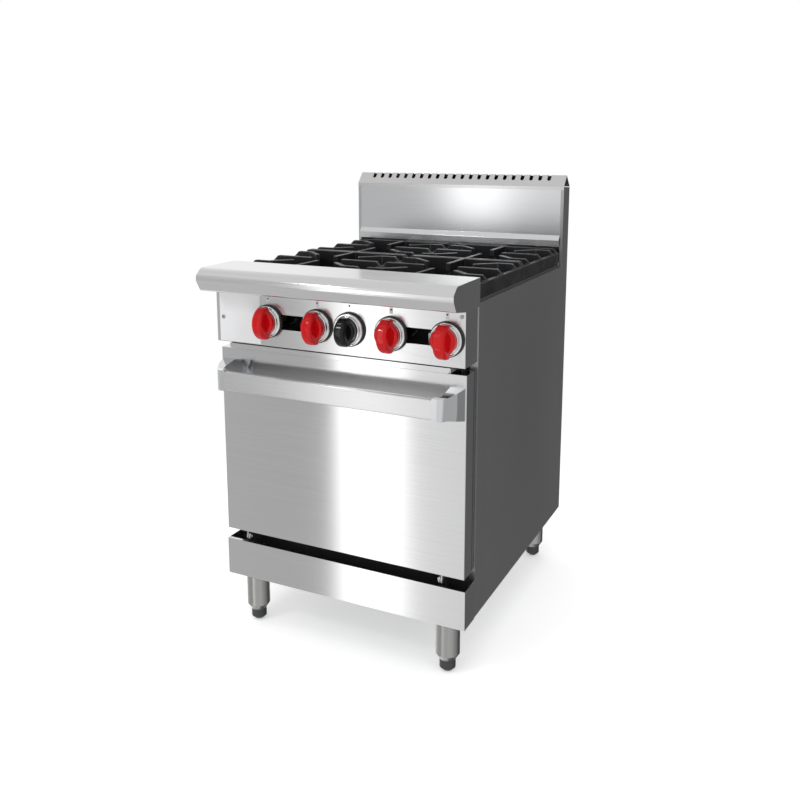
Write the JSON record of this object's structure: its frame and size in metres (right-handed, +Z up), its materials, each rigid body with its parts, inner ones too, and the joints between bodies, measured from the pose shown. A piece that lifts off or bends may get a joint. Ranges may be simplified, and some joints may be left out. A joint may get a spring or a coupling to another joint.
{
  "type": "gas range",
  "caption": "Commercial gas range: open burners under cast grates, knobs below a rolled landing ledge, drop-down oven door, pull-out crumb tray, low vented riser, tube legs",
  "frame": {"origin": "on the floor, midway across the width and midway between the ledge's nose and the gas inlet's end", "axes": "+X to the range's right as seen from the front, +Y from front to back, +Z up"},
  "size_m": [0.6096, 0.827, 1.061],
  "materials": {
    "stainless_body": "brushed, satin sheen",
    "stainless_polished": "finely brushed, bright",
    "handle_steel": "satin",
    "handle_casting": "satin cast",
    "galvanised": "dull zinc",
    "frame_paint": "black, matt",
    "box_enamel": "dark grey, low sheen",
    "cast_iron": "matt, seasoned",
    "burner_iron": "raw cast",
    "knob_red": "high gloss",
    "knob_black": "high gloss",
    "bezel_chrome": "polished",
    "gasket_rubber": "matt",
    "seal_rubber": "matt",
    "label_white": "satin",
    "brass": "machined",
    "valve_metal": "die cast",
    "pipe_iron": "black pipe",
    "tube_aluminium": "drawn",
    "oven_enamel": "porcelain enamel",
    "insulation": "fibre blanket",
    "rack_chrome": "plated wire",
    "screw_steel": "zinc plated",
    "foot_metal": "satin grey",
    "leg_steel": "satin",
    "hinge_steel": "zinc plated"
  },
  "bodies": {
    "cabinet": {"side_panel_left": "stainless_body", "side_panel_right": "stainless_body", "back_panel": "galvanised", "base_frame": "galvanised", "kick_plate": "stainless_polished", "oven_front_frame": "frame_paint", "control_panel": "stainless_polished", "landing_ledge": "stainless_polished", "label_plate": "label_white", "knob_gaskets": "gasket_rubber", "burner_bezels": "bezel_chrome", "thermostat_bezel": "bezel_chrome", "panel_screws": "screw_steel", "burner_box": "box_enamel", "grate_cross_rail": "box_enamel", "tray_runners": "galvanised", "gas_manifold": "pipe_iron", "burner_valves": "brass", "thermostat": "valve_metal", "oven_gas_tube": "tube_aluminium", "safety_valve": "valve_metal", "pilot_tubes": "tube_aluminium", "burner_bodies": "burner_iron", "burner_heads": "burner_iron", "oven_liner": "oven_enamel", "oven_deck": "oven_enamel", "fire_box": "galvanised", "oven_burner": "burner_iron", "flame_baffle": "burner_iron", "oven_insulation": "insulation", "door_gasket": "seal_rubber", "flue_duct": "galvanised", "rack_guides": "rack_chrome", "hinge_brackets": "hinge_steel", "legs": "leg_steel", "riser_panel": "stainless_polished", "riser_shell": "stainless_body", "riser_cap": "stainless_polished"},
    "oven_door": {"door_skin": "stainless_polished", "door_liner": "oven_enamel", "door_insulation": "insulation", "handle_bar": "handle_steel", "handle_bracket_left": "handle_casting", "handle_bracket_right": "handle_casting", "door_hinge_arms": "hinge_steel"},
    "burner_knob_1_body": {"burner_knob_1": "knob_red"},
    "burner_knob_2_body": {"burner_knob_2": "knob_red"},
    "burner_knob_3_body": {"burner_knob_3": "knob_red"},
    "burner_knob_4_body": {"burner_knob_4": "knob_red"},
    "thermostat_knob_body": {"thermostat_knob": "knob_black"},
    "grate_front_left_body": {"grate_front_left": "cast_iron"},
    "grate_front_right_body": {"grate_front_right": "cast_iron"},
    "grate_rear_left_body": {"grate_rear_left": "cast_iron"},
    "grate_rear_right_body": {"grate_rear_right": "cast_iron"},
    "crumb_tray_body": {"crumb_tray": "stainless_polished"},
    "oven_rack_body": {"oven_rack": "rack_chrome"},
    "foot_front_left_body": {"foot_front_left": "foot_metal"},
    "foot_front_right_body": {"foot_front_right": "foot_metal"},
    "foot_rear_left_body": {"foot_rear_left": "foot_metal"},
    "foot_rear_right_body": {"foot_rear_right": "foot_metal"}
  },
  "joints": [
    {"name": "door_hinge", "type": "hinge", "parent": "cabinet", "child": "oven_door", "pos_m": [0, -0.3235, 0.226], "axis": [1, 0, 0], "range_deg": [0, 90]},
    {"name": "burner_knob_1_turn", "type": "hinge", "parent": "cabinet", "child": "burner_knob_1_body", "pos_m": [-0.163, -0.3455, 0.757], "axis": [0, -1, 0], "range_deg": [0, 90]},
    {"name": "burner_knob_2_turn", "type": "hinge", "parent": "cabinet", "child": "burner_knob_2_body", "pos_m": [-0.038, -0.3455, 0.757], "axis": [0, -1, 0], "range_deg": [0, 90]},
    {"name": "burner_knob_3_turn", "type": "hinge", "parent": "cabinet", "child": "burner_knob_3_body", "pos_m": [0.139, -0.3455, 0.757], "axis": [0, -1, 0], "range_deg": [0, 90]},
    {"name": "burner_knob_4_turn", "type": "hinge", "parent": "cabinet", "child": "burner_knob_4_body", "pos_m": [0.264, -0.3455, 0.757], "axis": [0, -1, 0], "range_deg": [0, 90]},
    {"name": "thermostat_knob_turn", "type": "hinge", "parent": "cabinet", "child": "thermostat_knob_body", "pos_m": [0.041, -0.3455, 0.757], "axis": [0, -1, 0], "range_deg": [0, 270]},
    {"name": "crumb_tray_slide", "type": "slide", "parent": "cabinet", "child": "crumb_tray_body", "axis": [0, -1, 0], "range_m": [0, 0.45]},
    {"name": "oven_rack_slide", "type": "slide", "parent": "cabinet", "child": "oven_rack_body", "axis": [0, -1, 0], "range_m": [0, 0.25]},
    {"name": "grate_front_left_lift", "type": "slide", "parent": "cabinet", "child": "grate_front_left_body", "axis": [0, 0, 1], "range_m": [0, 0.25]},
    {"name": "grate_front_right_lift", "type": "slide", "parent": "cabinet", "child": "grate_front_right_body", "axis": [0, 0, 1], "range_m": [0, 0.25]},
    {"name": "grate_rear_left_lift", "type": "slide", "parent": "cabinet", "child": "grate_rear_left_body", "axis": [0, 0, 1], "range_m": [0, 0.25]},
    {"name": "grate_rear_right_lift", "type": "slide", "parent": "cabinet", "child": "grate_rear_right_body", "axis": [0, 0, 1], "range_m": [0, 0.25]},
    {"name": "foot_front_left_screw", "type": "slide", "parent": "cabinet", "child": "foot_front_left_body", "axis": [0, 0, -1], "range_m": [0, 0.025]},
    {"name": "foot_front_right_screw", "type": "slide", "parent": "cabinet", "child": "foot_front_right_body", "axis": [0, 0, -1], "range_m": [0, 0.025]},
    {"name": "foot_rear_left_screw", "type": "slide", "parent": "cabinet", "child": "foot_rear_left_body", "axis": [0, 0, -1], "range_m": [0, 0.025]},
    {"name": "foot_rear_right_screw", "type": "slide", "parent": "cabinet", "child": "foot_rear_right_body", "axis": [0, 0, -1], "range_m": [0, 0.025]}
  ],
  "couplings": [
    {"joint": "oven_rack_slide", "follows": "door_hinge", "m_per_rad": 0.159}
  ]
}
